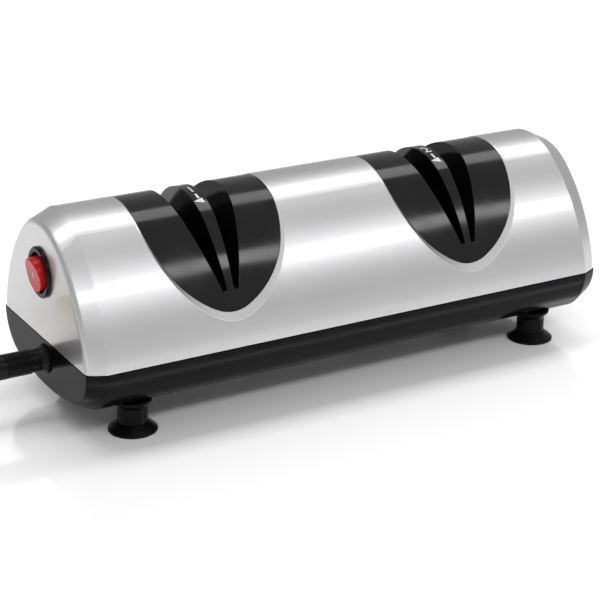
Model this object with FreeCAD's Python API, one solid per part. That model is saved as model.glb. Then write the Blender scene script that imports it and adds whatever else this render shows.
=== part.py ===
"""Electric knife sharpener with two grinding stages, as separate pieces.

Millimetres, +Z up, +X along the body to its right end, -Y towards the user.
z = 0 is the table. The origin lies under the middle of the outline seen from above,
with the rocker button counted in the length and the cord left out.
"""
import FreeCAD
import Part
import math
import os

V = FreeCAD.Vector
X_AXIS = V(1, 0, 0)
Y_AXIS = V(0, 1, 0)
Z_AXIS = V(0, 0, 1)

# Housing outline
body_length = 240.0
body_half_width = 45.55      # at the height of the side arcs' centres
body_height = 84.7
split_height = 31.9          # cover above, base below
crown_radius = 27.84
side_centre_height = 21.1    # where the cover's side arcs would stand upright
belly_height = 8.35          # lowest line of the base
belly_rise = 2.95            # from there to the lowest line of the corner arcs
base_side = 0.1              # upright side between the corner arcs and the split
cover_wall = 2.6
base_wall = 2.6
split_gap = 0.4              # dark line between cover and base
bevel_length = 7.2           # along the body, at the split
bevel_lean = 2.0             # how much longer the bevel is at the crown
bevel_side = 3.45            # how far the end face is set in at its sides
bevel_top = 4.34             # and at its crown
bevel_crown = 0.33           # and how much smaller its crown's radius is
cover_round = 3.0             # where the cover's end faces meet their bevels
base_round = 1.0
round_steps = 4
tongue_height = 2.2
tongue_wall = 1.2
tongue_root = 1.5
slip = 0.15                  # clearance between moulded pieces

# Openings for the knife guides
stage_x = 56.0               # stages at plus and minus this
opening_half_width = 31.4
opening_bottom = 42.7
opening_arc = 17.0
rim_bottom = 2.6             # width of the sloping rim at the foot of the opening
rim_side = 0.7               # and at the crown
rim_arc = 16.0
rim_reach = 1.2              # how far the cutting surface runs on past both edges
rim_shares = [0, 0.11, 0.22, 0.335, 0.42, 0.5, 0.58, 0.66, 0.74, 0.81, 0.87, 0.92, 0.96, 0.985, 1]

# Knife guides
guide_half_width_drop = 2.3  # how far the guide's arch lies inside the cover's at its sides
guide_crown_radius = 27.87
guide_crown_drop = 0.2
guide_wall = 2.2
flange_margin = 4.0
groove_floor = 53.0
groove_inner_low = 1.4       # half width of the centre strip at the groove floor
groove_inner_high = 2.95     # and at the crown
groove_outer_low = 3.4
groove_outer_high = 13.5
groove_wall = 1.6
guide_room = 45.0            # half length of the blocks that the guides are cut from
guide_tab_half = 5.0
guide_tab_bottom = 33.0
guide_tab_top = 50.0
guide_tab_wall = 2.2
guide_boss_height = 37.0
guide_boss_radius = 3.4
guide_boss_length = 3.7      # from the cover's wall inwards

# Shaft line and wheels
shaft_height = 38.0
shaft_radius = 3.0
shaft_half = 67.0
running_gap = 0.05
wheel_radius = 20.5
wheel_half = 3.0
wheel_rim_half = 0.8
wheel_bevel_start = 14.5
wheel_bore = 4.0
wheel_clearance = 1.0
hub_radius = 8.0
hub_neck = 5.5
hub_flange = 3.0
hub_length = 7.0
washer_thickness = 1.2
nut_across = 10.0
nut_length = 4.0

# Motor
stator_half = 23.0
stator_corner = 5.0
stator_half_length = 12.0
pole_bore = 13.0
pole_shoe = 2.2
pole_half = 7.0
shoe_half = 12.0
yoke = 4.5
air_gap = 0.4
rotor_slots = 14
slot_half = 0.5
slot_depth = 1.6
shaft_chamfer = 0.5
end_ring = 2.6
coil_overhang = 7.0
coil_half_width = 17.8
coil_corner = 5.0
coil_low = 4.0               # nearest height of a coil to the shaft line
bracket_near = 22.0          # distance of each bearing bracket from the motor's middle
bracket_wall = 3.0
bracket_half = 7.5
bracket_corner = 4.0
bracket_hub = 7.5
hub_wall = 4.0
bush_outer = 5.0
bush_length = 7.0
bolt_y = 20.7
bolt_radius = 1.5
bolt_head = 2.6
bolt_sleeve = 2.2
bolt_head_height = 2.0
bolt_nut_height = 2.4
bolt_beyond = 3.0            # how far the thread passes the bracket
fan_x = 31.0
fan_radius = 16.0
fan_hub = 5.5
fan_length = 7.0
fan_blades = 9
fan_disc = 1.2
vane_half = 0.6
pad_thickness = 1.2
pad_y = 16.0
pad_half_width = 2.0
pad_half_length = 11.0
strap_thickness = 1.0
strap_half = 6.0
strap_gap = 1.0              # from the strap's feet to the base's side
strap_height = 17.0
strap_boss = 4.0
strap_screw_length = 4.0

# Screws
screw_x = 104.0              # housing screws
screw_y = 17.0
column_radius = 4.8
column_top = 36.0
column_ledge = 20.0
post_radius = 3.6
screw_radius = 1.5
screw_length = 30.0
head_radius = 3.0
head_height = 2.2
small_screw = 1.25
small_head = 2.4
small_head_height = 1.6
hole_slack = 0.25

# Vents in the floor, under the fan
vent_slots = 6
vent_first = 26.0
vent_pitch = 5.2
vent_width = 2.2
vent_half = 11.0

# Feet
foot_x = 96.1
foot_y = 29.4
cup_radius = 9.85
cup_height = 3.6
cup_hollow = 8.5
cup_depth = 1.9
stem_radius = 6.0
stem_flare = 1.8
socket_radius = 3.4
socket_height = 9.0
belly_at_foot = 12.0

# Switch on the left end face
switch_height = 60.2
bezel_radius = 10.3
bezel_thickness = 1.5
switch_radius = 9.2
switch_well = 8.1
switch_depth = 15.0
snap_length = 2.4
snap_height = 0.7
well_floor = 8.6
rocker_radius = 6.9
rocker_low = 1.2             # how far the lower half stands out of the bezel
rocker_travel = 18.0         # degrees between the two positions
rocker_inside = 4.0
rocker_edge = 0.6
rocker_dish = 45.0
dish_depth = 0.5
pivot_depth = 2.5            # behind the bezel's face
pivot_radius = 0.9
pin_reach = 8.9
pin_play = 0.1
terminal_z = 4.0
terminal_half = 2.4
terminal_thickness = 0.8
terminal_length = 7.0

# Cord, in the housing's own frame before the shift to the origin
cord_radius = 3.0
cord_height = 23.7
cord_inner_end = -84.0
relief_length = 42.0
relief_neck = 4.55
relief_rib = 4.95
relief_collar = 5.0
relief_flare = 6.0
relief_ribs = 9
rib_first = 6.5
rib_pitch = 1.18
relief_hole = 5.4
relief_flange = 6.5          # behind the end wall
relief_flange_wall = 3.25
relief_collar_length = 4.0
relief_lip = 0.5
clamp_x = -92.0
clamp_half = 3.0
clamp_half_width = 13.0
clamp_screw_y = 9.5
clamp_gap = 0.5
clamp_top = 28.0
clamp_screw_length = 11.0
lead_radius = 0.9
lead_apart = 1.3
cord_points = [              # chosen by hand; the last lies on the table
    (-162.0, 0.0, 23.7),
    (-174.0, 0.0, 23.7),
    (-186.0, -1.0, 20.6),
    (-197.5, -3.2, 14.4),
    (-208.5, -5.4, 8.0),
    (-219.0, -7.2, 4.0),
    (-229.5, -8.0, 3.05),
    (-234.0, -8.0, 3.05),
]
coil_turns = 3.5             # in each of the two layers
climb_turns = 0.5
coil_step = 6.5              # from turn to turn, and from layer to layer
coil_outer = 42.5
plug_neck = 30.0
plug_neck_plain = 10.0
plug_neck_start = 3.3
plug_neck_end = 5.2
plug_ribs = 5
plug_rib = 0.6
plug_length = 28.0
plug_half_width = 12.0
plug_half_height = 9.5
plug_round = 5.0
blade_length = 16.0
blade_root = 8.0             # moulded into the plug
blade_half_height = 3.15
blade_half_thickness = 0.75
blade_gap = 12.7

# Worked out from the values above
half = body_length / 2
tilt = math.radians(rocker_travel / 2)
proud = bezel_thickness + rocker_low + 2 * rocker_radius * math.sin(tilt)
mid_x = proud / 2
corner_radius = split_height - base_side - belly_height - belly_rise
pad_bottom = shaft_height - stator_half - pad_thickness
pivot_x = -half - bezel_thickness + pivot_depth
rocker_face = (pivot_x + half + proud - rocker_radius * math.sin(tilt)) / math.cos(tilt)
facets = []


def save(name, shape):
    """Write one piece, moved so that the origin is the middle of the whole outline."""
    placed = shape.copy()
    placed.translate(V(mid_x, 0, 0))
    placed.exportStep("parts/" + name + ".step")
    solids = len(placed.Solids)
    mesh = placed.tessellate(0.3)
    facets.append(len(mesh[1]))
    print("%-20s solids %2d  valid %s  volume %9.1f  facets %5d"
          % (name, solids, placed.isValid(), placed.Volume, facets[-1]))


def line(a, b):
    return Part.LineSegment(V(*a), V(*b)).toShape()


def arc(a, m, b):
    return Part.Arc(V(*a), V(*m), V(*b)).toShape()


def prism(wire, along):
    return Part.Face(wire).extrude(along)


def box(x0, x1, y0, y1, z0, z1):
    return Part.makeBox(x1 - x0, y1 - y0, z1 - z0, V(x0, y0, z0))


def rod(radius, start, along, length):
    return Part.makeCylinder(radius, length, V(*start), along)


def turned(points, axis_point, axis):
    """Revolve a closed polygon of points about an axis."""
    face = Part.Face(Part.makePolygon([V(*p) for p in points + points[:1]]))
    return face.revolve(V(*axis_point), axis, 360)


def joined(first, *others):
    return first.multiFuse(list(others)).removeSplitter()


def arch_centres(half_w, top, crown_r):
    """An arch's side radius, the distance of its side arcs' centres and the crown centre's height."""
    rise = top - crown_r - side_centre_height
    side_r = (half_w ** 2 + rise ** 2 - crown_r ** 2) / (2 * (half_w - crown_r))
    return side_r, side_r - half_w, top - crown_r


def arch_join(half_w, top, crown_r):
    """Where a side arc runs into the crown arc."""
    side_r, away, crown_z = arch_centres(half_w, top, crown_r)
    share = side_r / (side_r - crown_r)
    return away * (share - 1), side_centre_height + (crown_z - side_centre_height) * share


def arch_y(half_w, top, crown_r, z):
    """Half width of an arch at one height."""
    side_r, away, crown_z = arch_centres(half_w, top, crown_r)
    if z >= arch_join(half_w, top, crown_r)[1]:
        return math.sqrt(max(crown_r ** 2 - (z - crown_z) ** 2, 0))
    return math.sqrt(side_r ** 2 - (z - side_centre_height) ** 2) - away


def arch_wire(half_w, top, crown_r, low, x):
    """The cover's section: two side arcs and a crown arc, closed along its foot."""
    jy, jz = arch_join(half_w, top, crown_r)
    foot = arch_y(half_w, top, crown_r, low)
    mid_z = (low + jz) / 2
    mid_y = arch_y(half_w, top, crown_r, mid_z)
    edges = [
        line((x, foot, low), (x, -foot, low)),
        arc((x, -foot, low), (x, -mid_y, mid_z), (x, -jy, jz)),
        arc((x, -jy, jz), (x, 0, top), (x, jy, jz)),
        arc((x, jy, jz), (x, mid_y, mid_z), (x, foot, low)),
    ]
    return Part.Wire(edges)


def base_inside(z):
    """Half width inside the base's corner arcs at one height."""
    away = arch_y(body_half_width, body_height, crown_radius, split_height) - corner_radius
    below = split_height - base_side - z
    return away + math.sqrt((corner_radius - base_wall) ** 2 - below ** 2)


boss_y = arch_y(body_half_width - cover_wall, body_height - cover_wall, crown_radius - cover_wall,
                guide_boss_height) - guide_boss_length
strap_end = base_inside(strap_height) - strap_gap
strap_screw_y = (stator_half + strap_thickness + strap_end) / 2


def lean(wire, at_split):
    """Lay a section that stands at x = 0 on the plane where the left bevel starts."""
    slope = bevel_lean / (body_height - split_height)
    shear = FreeCAD.Matrix()
    shear.A13 = slope
    shear.A14 = at_split - slope * split_height
    return wire.transformGeometry(shear)


def both_ends(left):
    return left, left.mirror(V(0, 0, 0), X_AXIS)


def end_rings(radius):
    """Rings of the rounded edge between an end face and its bevel.

    Each is how far it lies behind the end face, and how much larger it is than the sharp
    outline of the end face (the first is the flat face's own edge).
    """
    slope = math.atan2(bevel_side, bevel_length)
    turn = math.pi / 2 - slope
    cut = radius * math.tan(turn / 2)
    rings = []
    for step in range(round_steps + 1):
        t = turn * step / round_steps
        rings.append((radius * (1 - math.cos(t)), radius * math.sin(t) - cut))
    return rings


def upper_block(inset, low, radius=0):
    """The volume above the split, set in by a wall: a prism with a ruled bevel at each end."""
    w, top, crown_r = body_half_width - inset, body_height - inset, crown_radius - inset
    section = arch_wire(w, top, crown_r, low, 0)
    rings = [(0, 0)] if radius == 0 else end_rings(radius)
    wires = [arch_wire(w - bevel_side + grow, top - bevel_top + grow, crown_r - bevel_crown + grow,
                       low, -half + inset + back) for back, grow in rings]
    start = -half + bevel_length
    bevel = Part.makeLoft(wires + [lean(section, start)], True, True)
    slope = bevel_lean / (body_height - split_height)
    z0, z1 = low, body_height + 1
    corners = [(start + slope * (z0 - split_height), z0), (start + slope * (z1 - split_height), z1)]
    corners += [(-x, z) for x, z in reversed(corners)]
    points = [V(x, -body_half_width, z) for x, z in corners + corners[:1]]
    limits = prism(Part.makePolygon(points), Y_AXIS * 2 * body_half_width)
    middle = prism(section, X_AXIS * body_length)
    middle.translate(V(-half, 0, 0))
    return joined(middle.common(limits), *both_ends(bevel))


def lower_wire(inset, top, x):
    """The base's section: belly arc, two corner arcs and short upright sides."""
    away = arch_y(body_half_width, body_height, crown_radius, split_height) - corner_radius
    belly_radius = (away ** 2 + (corner_radius + belly_rise) ** 2 - corner_radius ** 2) / (2 * belly_rise)
    belly_z = belly_height + belly_radius
    corner_z = split_height - base_side
    r, big = corner_radius - inset, belly_radius - inset
    share = big / (belly_radius - corner_radius)
    ty, tz = away * share, belly_z - (belly_z - corner_z) * share
    turn = math.atan2(corner_z - tz, ty - away) / 2
    my, mz = away + r * math.cos(turn), corner_z - r * math.sin(turn)
    w = away + r
    edges = [
        line((x, w, top), (x, -w, top)),
        line((x, -w, top), (x, -w, corner_z)),
        arc((x, -w, corner_z), (x, -my, mz), (x, -ty, tz)),
        arc((x, -ty, tz), (x, 0, belly_z - big), (x, ty, tz)),
        arc((x, ty, tz), (x, my, mz), (x, w, corner_z)),
        line((x, w, corner_z), (x, w, top)),
    ]
    return Part.Wire(edges)


def lower_block(inset, top, radius=0):
    """The volume below the split, set in by a wall."""
    start = -half + bevel_length
    rings = [(0, 0)] if radius == 0 else end_rings(radius)
    wires = [lower_wire(inset + bevel_side - grow, top, -half + inset + back) for back, grow in rings]
    bevel = Part.makeLoft(wires + [lower_wire(inset, top, start)], True, True)
    middle = prism(lower_wire(inset, top, start), X_AXIS * (2 * (half - bevel_length)))
    return joined(middle, *both_ends(bevel))


def u_values(half_w, bottom, r):
    """Angle and radius of the side arcs of a U outline that is widest at the crown."""
    ratio = (half_w - r) / (body_height - bottom - r)
    turn = math.pi / 2 - 2 * math.atan(ratio)
    step = (body_height - bottom - r) / math.cos(turn)
    return turn, step


def u_wire(x, y, half_w, bottom, r):
    """U outline in a plane across Y, open over the crown."""
    turn, step = u_values(half_w, bottom, r)
    big = r + step
    tx, tz = r * math.sin(turn), bottom + r * (1 - math.cos(turn))
    mid = (turn + math.pi / 2) / 2
    mx, mz = big * math.sin(mid) - step * math.sin(turn), body_height - big * math.cos(mid)
    high = body_height + 6
    edges = [
        arc((x - tx, y, tz), (x, y, bottom), (x + tx, y, tz)),
        arc((x + tx, y, tz), (x + mx, y, mz), (x + half_w, y, body_height)),
        line((x + half_w, y, body_height), (x + half_w, y, high)),
        line((x + half_w, y, high), (x - half_w, y, high)),
        line((x - half_w, y, high), (x - half_w, y, body_height)),
        arc((x - half_w, y, body_height), (x - mx, y, mz), (x - tx, y, tz)),
    ]
    return Part.Wire(edges)


def u_prism(x, margin):
    """Everything within the guide's outline, made larger by a margin."""
    wire = u_wire(x, -body_half_width - 5, opening_half_width - rim_side + margin,
                  opening_bottom + rim_bottom - margin, rim_arc + margin)
    return prism(wire, Y_AXIS * (2 * body_half_width + 10))


def rim_points(outline, x):
    """Points round the U outline where it lies on an arch, from the back's foot over the crown."""
    half_w, bottom, r, arch_w, top, crown_r = outline
    turn, far = u_values(half_w, bottom, r)
    quarter = []
    for share in rim_shares:
        angle = math.pi / 2 * share
        if angle < turn:
            px, pz = r * math.sin(angle), bottom + r * (1 - math.cos(angle))
        else:
            px = (r + far) * math.sin(angle) - far * math.sin(turn)
            pz = body_height - (r + far) * math.cos(angle)
        quarter.append((px, arch_y(arch_w, top, crown_r, min(pz, top)), min(pz, top)))
    right = quarter + [(px, -py, pz) for px, py, pz in reversed(quarter[:-1])]
    left = [(-px, py, pz) for px, py, pz in reversed(right[1:-1])]
    return [V(x + px, py, pz) for px, py, pz in right + left]


def slope_rim(cover, x):
    """Cut the sloping rim round one opening with a ruled band between its two edges."""
    outer = rim_points((opening_half_width, opening_bottom, opening_arc,
                        body_half_width, body_height, crown_radius), x)
    inner = rim_points((opening_half_width - rim_side, opening_bottom + rim_bottom, rim_arc,
                        body_half_width - guide_half_width_drop, body_height - guide_crown_drop,
                        guide_crown_radius), x)
    edges = []
    for first, second in ((-rim_reach, outer), (rim_reach, inner)):
        points = []
        for a, b, c in zip(outer, inner, second):
            points.append(c + (b - a).normalize() * first)
        curve = Part.BSplineCurve()
        curve.interpolate(points, True)
        edges.append(curve.toShape())
    band = Part.makeRuledSurface(*edges)
    pieces = cover.generalFuse([band])[0].Solids
    print("rim pieces", [round(piece.Volume, 1) for piece in pieces])
    return max(pieces, key=lambda piece: piece.Volume)


def ribbed_sleeve():
    """Section of the strain relief, as distance out of the end face and radius."""
    inner = -base_wall - slip
    points = [(inner - relief_flange_wall, cord_radius), (inner - relief_flange_wall, relief_flange),
              (inner, relief_flange), (inner, relief_hole), (0.0, relief_hole), (0.0, relief_flare),
              (0.8, relief_flare), (1.6, relief_neck + 0.5), (2.6, relief_neck)]
    for rib in range(relief_ribs):
        at = rib_first + rib * rib_pitch
        points += [(at, relief_neck), (at + 0.2 * rib_pitch, relief_rib),
                   (at + 0.6 * rib_pitch, relief_rib), (at + 0.8 * rib_pitch, relief_neck)]
    last = rib_first + relief_ribs * rib_pitch
    collar_end = last + relief_collar_length
    points += [(last, relief_neck), (last, relief_collar), (collar_end, relief_collar),
               (collar_end + 0.4, relief_neck - 0.2), (relief_length, cord_radius + relief_lip),
               (relief_length, cord_radius)]
    return turned([(-half - out, 0, cord_height + r) for out, r in points], (0, 0, cord_height), X_AXIS)


def tube(points, radius):
    """Round tube along straight runs joined by arcs as large as the runs allow."""
    corners = [V(*p) for p in points]
    edges = []
    radii = []
    length = 0
    last = corners[0]
    for before, at, after in zip(corners, corners[1:], corners[2:]):
        into = (at - before).normalize()
        out = (after - at).normalize()
        trim = 0.45 * min(before.distanceToPoint(at), at.distanceToPoint(after))
        half_turn = into.getAngle(out) / 2
        bend = trim / math.tan(half_turn)
        first, second = at - into * trim, at + out * trim
        inward = (out - into).normalize()
        middle = at + inward * (bend / math.cos(half_turn) - bend)
        edges += [Part.LineSegment(last, first).toShape(), Part.Arc(first, middle, second).toShape()]
        length += last.distanceToPoint(first) + 2 * bend * half_turn
        radii.append(round(bend, 1))
        last = second
    edges.append(Part.LineSegment(last, corners[-1]).toShape())
    length += last.distanceToPoint(corners[-1])
    return swept(Part.Wire(edges), radius, corners[0], corners[1] - corners[0]), length, radii


def swept(path, radius, start, along):
    circle = Part.Wire([Part.Circle(start, along, radius).toShape()])
    shell = Part.BRepOffsetAPI.MakePipeShell(path)
    shell.add(circle, False, False)
    shell.build()
    shell.makeSolid()
    return shell.shape()


def biarc(p0, t0, p1, t1):
    """Two arcs that leave p0 along t0 and reach p1 along t1."""
    chord = p1 - p0
    a = 2 * (1 - t0.dot(t1))
    b = chord.dot(t0 + t1)
    d = (math.sqrt(b * b + a * chord.dot(chord)) - b) / a
    q0, q1 = p0 + t0 * d, p1 - t1 * d
    joint = (q0 + q1) * 0.5
    edges = []
    for start, corner, end in ((p0, q0, joint), (joint, q1, p1)):
        centre = (start + end) * 0.5
        rise, width = corner.distanceToPoint(centre), start.distanceToPoint(centre)
        sagitta = width * math.tan(math.atan2(rise, width) / 2)
        edges.append(Part.Arc(start, centre + (corner - centre).normalize() * sagitta, end).toShape())
    return edges


def coil_point(turns, centre):
    """Place and direction on the coil after some turns: in, up a layer, and out again."""
    middle = coil_turns + climb_turns / 2
    radius = coil_outer - coil_step * (middle - abs(turns - middle))
    climb = min(max((turns - coil_turns) / climb_turns, 0), 1)
    inward = math.copysign(coil_step, turns - middle)
    rise = coil_step / climb_turns if 0 < climb < 1 else 0
    angle = -math.pi / 2 - 2 * math.pi * turns
    c, s = math.cos(angle), math.sin(angle)
    sweep = 2 * math.pi * radius
    place = centre + V(radius * c, radius * s, climb * coil_step)
    return place, V(inward * c + sweep * s, inward * s - sweep * c, rise).normalize()


def cord_coil():
    """Piled loops in two layers, one unbroken tube, with a straight end of one diameter each."""
    entry = V(*cord_points[-1])
    lead = 2 * cord_radius
    centre = entry - X_AXIS * lead + Y_AXIS * coil_outer
    quarters = int((2 * coil_turns + climb_turns) * 4)
    stops = [coil_point(quarter / 4, centre) for quarter in range(quarters + 1)]
    stops[0] = (stops[0][0], -X_AXIS)
    stops[-1] = (stops[-1][0], X_AXIS)
    edges = [Part.LineSegment(entry, stops[0][0]).toShape()]
    for (p0, t0), (p1, t1) in zip(stops, stops[1:]):
        edges += biarc(p0, t0, p1, t1)
    last = stops[-1][0]
    end = last + X_AXIS * lead
    edges.append(Part.LineSegment(last, end).toShape())
    path = Part.Wire(edges)
    points = path.discretize(Distance=coil_step / 3)
    skip = int(4 * coil_step / (path.Length / len(points)))
    least = min(p.distanceToPoint(q) for i, p in enumerate(points) for q in points[i + skip:])
    print("coil length %.0f, least gap to itself %.2f" % (path.Length, least - 2 * cord_radius))
    return swept(path, cord_radius, entry, -X_AXIS), end, path.Length


def along_x(block, length):
    """The edges of a block that run its whole length along X."""
    return [e for e in block.Edges if abs(e.BoundBox.XLength - length) < 0.01]


def rounded_square(half_size, corner, x0, x1, z):
    """Prism along X with rounded corners."""
    block = box(x0, x1, -half_size, half_size, z - half_size, z + half_size)
    return block.makeFillet(corner, along_x(block, x1 - x0))


def hexagon(across, x0, x1, y, z):
    """Hexagonal prism along X."""
    reach = across / math.sqrt(3)
    points = []
    for corner in range(7):
        angle = math.pi * corner / 3
        points.append(V(x0, y + reach * math.cos(angle), z + reach * math.sin(angle)))
    return prism(Part.makePolygon(points), X_AXIS * (x1 - x0))


def screw(start, along, length, radius, head_r, head_h):
    """Pan-head screw whose head rests at start."""
    shank = rod(radius, start, along, length)
    under = V(*start) - along * head_h
    head = Part.makeCylinder(head_r, head_h, under, along)
    slot = Part.makeCylinder(head_r * 0.35, head_h * 0.5, under, along)
    return joined(shank, head.cut(slot))


def four(make):
    """A piece at each of four corners, made from the signs of x and y."""
    return [make(sx, sy) for sx in (-1, 1) for sy in (-1, 1)]


def upright(radius, x, y, low, high):
    """Four round columns or holes, at plus and minus x and y."""
    return four(lambda sx, sy: rod(radius, (sx * x, sy * y, low), Z_AXIS, high - low))


def pair(make):
    return [make(-1), make(1)]


def small(start, along, length):
    return screw(start, along, length, small_screw, small_head, small_head_height)


def slab(low, high):
    """Everything between two heights."""
    return box(-half, half, -body_half_width, body_half_width, low, high)


def pad_block(side, low, high):
    """A cradle rib or its pad, under one edge of the stator."""
    y = side * pad_y
    return box(-pad_half_length, pad_half_length, y - pad_half_width, y + pad_half_width, low, high)


def upper_cover():
    low = split_height + split_gap
    outer = upper_block(0, low, cover_round)
    cover = outer.cut(upper_block(cover_wall, low - 1))
    inside = upper_block(cover_wall - 0.5, low - 1)
    posts = upright(post_radius, screw_x, screw_y, column_top, body_height)
    posts = [post.common(inside) for post in posts]
    boss = guide_boss_length + 1
    bosses = four(lambda sx, sy: rod(guide_boss_radius, (sx * stage_x, sy * boss_y, guide_boss_height),
                                     Y_AXIS * sy, boss))
    cover = joined(cover, *posts, *bosses)
    for side in (-1, 1):
        cover = cover.cut(u_prism(side * stage_x, 0))
    for side in (-1, 1):
        cover = slope_rim(cover, side * stage_x)
    holes = upright(screw_radius, screw_x, screw_y, column_top - 1, column_ledge + screw_length + 1)
    holes += four(lambda sx, sy: rod(small_screw, (sx * stage_x, sy * (boss_y - 1), guide_boss_height),
                                     Y_AXIS * sy, boss + 1))
    holes.append(rod(switch_radius + slip, (-half - 1, 0, switch_height), X_AXIS, 10))
    return cover.cut(Part.makeCompound(holes))


def base_pan():
    shell = lower_block(0, split_height, base_round).cut(lower_block(base_wall, split_height + 1))
    inset = cover_wall + slip
    rim = upper_block(inset, split_height).cut(upper_block(inset + tongue_wall, split_height - 1))
    rim = rim.common(slab(split_height, split_height + tongue_height))
    within = lower_block(base_wall - 0.5, split_height)
    root = within.cut(lower_block(inset + tongue_wall, split_height + 1))
    root = root.common(slab(split_height - tongue_root, split_height))
    within = within.fuse(upper_block(inset, split_height).common(slab(split_height, column_top)))
    columns = upright(column_radius, screw_x, screw_y, 0, column_top)
    columns += pair(lambda sy: pad_block(sy, 0, pad_bottom))
    columns += pair(lambda sy: rod(strap_boss, (0, sy * strap_screw_y, 0), Z_AXIS, strap_height))
    columns.append(box(clamp_x - clamp_half, clamp_x + clamp_half, -clamp_half_width, clamp_half_width,
                       0, cord_height - clamp_gap))
    columns = [column.common(within) for column in columns]
    flare = stem_radius + stem_flare
    stem = [(0, 0, cup_height), (stem_radius, 0, cup_height), (stem_radius, 0, belly_at_foot - stem_flare),
            (stem_radius + 0.3 * stem_flare, 0, belly_at_foot - 0.4 * stem_flare),
            (flare, 0, belly_at_foot + 0.6), (flare, 0, belly_at_foot + 1.6), (0, 0, belly_at_foot + 1.6)]
    one_stem = turned(stem, (0, 0, 0), Z_AXIS)
    stems = []
    for sx in (-1, 1):
        for sy in (-1, 1):
            placed = one_stem.copy()
            placed.translate(V(sx * foot_x, sy * foot_y, 0))
            stems.append(placed)
    base = joined(shell, rim, root, *columns, *stems)
    cuts = upright(head_radius + hole_slack, screw_x, screw_y, 0, column_ledge)
    cuts += upright(screw_radius + hole_slack, screw_x, screw_y, 0, column_top + 1)
    cuts += upright(socket_radius, foot_x, foot_y, 0, socket_height)
    cuts += pair(lambda sy: rod(small_screw, (0, sy * strap_screw_y, strap_height), -Z_AXIS,
                                strap_screw_length))
    cuts += pair(lambda sy: rod(small_screw, (clamp_x, sy * clamp_screw_y, clamp_top), -Z_AXIS,
                                clamp_screw_length + 1))
    cuts.append(rod(cord_radius, (clamp_x - 5, 0, cord_height), X_AXIS, 10))
    cuts.append(rod(relief_hole, (-half - 1, 0, cord_height), X_AXIS, 6))
    for vent in range(vent_slots):
        x = vent_first + vent * vent_pitch
        cuts.append(box(x, x + vent_width, -vent_half, vent_half, 0, belly_height + 2 * base_wall))
    return base.cut(Part.makeCompound(cuts))


def knife_guide(side):
    x = side * stage_x
    seat = cover_wall + slip
    back = seat + guide_wall
    face = arch_wire(body_half_width - guide_half_width_drop, body_height - guide_crown_drop,
                     guide_crown_radius, guide_tab_bottom, x - guide_room)
    face = prism(face, X_AXIS * 2 * guide_room)
    behind = upper_arch(seat, x)
    hollow = upper_arch(back, x)
    shown = face.cut(hollow).common(u_prism(x, -slip))
    flange = behind.cut(hollow).common(u_prism(x, flange_margin))
    trough = [(groove_outer_low + groove_wall - 0.6, groove_floor - groove_wall - 0.4),
              (groove_outer_high + groove_wall, body_height)]
    points = [V(x + px, -body_half_width, pz) for px, pz in trough]
    points += [V(x - px, -body_half_width, pz) for px, pz in reversed(trough)]
    along = Y_AXIS * 2 * body_half_width
    block = prism(Part.makePolygon(points + points[:1]), along).common(behind.fuse(shown))
    tabs = []
    for sy in (-1, 1):
        near, far = sorted((sy * boss_y, sy * (boss_y - guide_tab_wall)))
        tab = box(x - guide_tab_half, x + guide_tab_half, near, far, guide_tab_bottom, guide_tab_top)
        tabs.append(tab.common(behind))
    guide = joined(shown, flange, block, *tabs)
    cuts = []
    for sx in (-1, 1):
        groove = [(groove_inner_low, groove_floor), (groove_inner_high, body_height),
                  (groove_inner_high, body_height + 1), (groove_outer_high, body_height + 1),
                  (groove_outer_high, body_height), (groove_outer_low, groove_floor)]
        points = [V(x + sx * px, -body_half_width, pz) for px, pz in groove]
        cuts.append(prism(Part.makePolygon(points + points[:1]), along))
    room = wheel_half + wheel_clearance
    cuts.append(rod(wheel_radius + wheel_clearance, (x - room, 0, shaft_height), X_AXIS, 2 * room))
    cuts += pair(lambda sy: rod(small_screw + hole_slack, (x, sy * boss_y, guide_boss_height),
                                -Y_AXIS * sy, 2 * guide_tab_wall))
    return guide.cut(Part.makeCompound(cuts))


def upper_arch(inset, x):
    """The cover's section set in, over the length of one guide."""
    section = arch_wire(body_half_width - inset, body_height - inset, crown_radius - inset,
                        guide_tab_bottom, x - guide_room)
    return prism(section, X_AXIS * 2 * guide_room)


def suction_foot(sx, sy):
    plug_top = socket_height - 0.4
    outline = [(0, 0, cup_depth), (cup_hollow * 0.55, 0, cup_depth * 0.8), (cup_hollow, 0, 0),
               (cup_radius, 0, 0), (cup_radius, 0, 0.7), (cup_radius - 0.5, 0, 1.1),
               (cup_radius - 1.6, 0, 2.0), (cup_radius - 2.8, 0, 2.9), (stem_radius + 0.2, 0, cup_height),
               (socket_radius, 0, cup_height), (socket_radius, 0, plug_top), (0, 0, plug_top)]
    foot = turned(outline, (0, 0, 0), Z_AXIS)
    foot.translate(V(sx * foot_x, sy * foot_y, 0))
    return foot


def stator_core():
    block = rounded_square(stator_half, stator_corner, -stator_half_length, stator_half_length,
                           shaft_height)
    inner = stator_half - yoke
    ends = stator_half_length + 1
    window = box(-ends, ends, -inner, inner, shaft_height - inner, shaft_height + inner)
    poles = []
    ring = rod(pole_bore + pole_shoe, (-ends, 0, shaft_height), X_AXIS, 2 * ends)
    for up in (-1, 1):
        z0, z1 = sorted((shaft_height, shaft_height + up * (inner + 1)))
        poles.append(box(-ends, ends, -pole_half, pole_half, z0, z1))
        z0, z1 = sorted((shaft_height + up * coil_low, shaft_height + up * inner))
        poles.append(ring.common(box(-ends, ends, -shoe_half, shoe_half, z0, z1)))
    bore = rod(pole_bore, (-ends, 0, shaft_height), X_AXIS, 2 * ends)
    bolts = [rod(bolt_radius, (-ends, sy * bolt_y, shaft_height), X_AXIS, 2 * ends) for sy in (-1, 1)]
    return block.cut(window.cut(joined(*poles))).cut(Part.makeCompound([bore] + bolts))


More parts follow.
